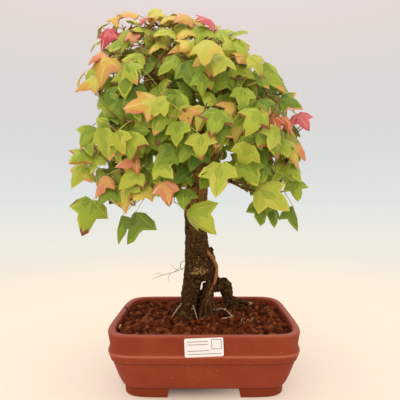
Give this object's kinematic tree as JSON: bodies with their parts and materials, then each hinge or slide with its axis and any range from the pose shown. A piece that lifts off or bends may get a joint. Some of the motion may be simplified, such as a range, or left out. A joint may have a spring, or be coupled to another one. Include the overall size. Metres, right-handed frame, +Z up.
{
  "type": "trident maple bonsai",
  "caption": "Small trident maple tree with autumn tints, grown as a bonsai over exposed roots in a rectangular clay pot.",
  "frame": {"origin": "on the standing surface, under the middle of the whole plant's bounds, 20 mm left of the pot's middle", "axes": "+Z up; +X to the right of the pictured view and along the pot's long side; the pictured side faces -Y"},
  "size_m": [0.337, 0.254, 0.5],
  "materials": {
    "clay": "unglazed red-brown clay, matt, with fine pale specks",
    "soil": "loose granules of fired clay, matt",
    "label": "smooth white paper, slightly satin",
    "bark": "rough flaking bark, matt",
    "foliage": "thin leaves, soft satin, green to yellow and orange"
  },
  "bodies": {
    "root": {"pot": "clay", "soil": "soil", "label": "label", "trunk": "bark", "root_arch": "bark", "root_air": "bark", "root_right_back": "bark", "root_right_front": "bark", "root_pale": "bark", "root_left": "bark", "leader_left": "bark", "leader_right": "bark", "leader_back": "bark", "bough_top_left": "bark", "bough_top_middle": "bark", "bough_top_right": "bark", "bough_top_back": "bark", "bough_upper_left": "bark", "bough_upper_front_left": "bark", "bough_upper_front_right": "bark", "bough_upper_right": "bark", "bough_upper_back_left": "bark", "bough_upper_back_right": "bark", "bough_left": "bark", "bough_front_left": "bark", "bough_front_middle": "bark", "bough_front_right": "bark", "bough_right": "bark", "bough_back_middle": "bark", "bough_low_left": "bark", "bough_low_front": "bark", "bough_low_right": "bark", "bough_low_back_left": "bark", "bough_low_back_right": "bark", "foliage_top_left": "foliage", "foliage_top_middle": "foliage", "foliage_top_right": "foliage", "foliage_top_back": "foliage", "foliage_upper_left": "foliage", "foliage_upper_front_left": "foliage", "foliage_upper_front_right": "foliage", "foliage_upper_right": "foliage", "foliage_upper_back_left": "foliage", "foliage_upper_back_right": "foliage", "foliage_left": "foliage", "foliage_front_left": "foliage", "foliage_front_middle": "foliage", "foliage_front_right": "foliage", "foliage_right": "foliage", "foliage_back_middle": "foliage", "foliage_low_left": "foliage", "foliage_low_front": "foliage", "foliage_low_right": "foliage", "foliage_low_back_left": "foliage", "foliage_low_back_right": "foliage"}
  },
  "joints": []
}
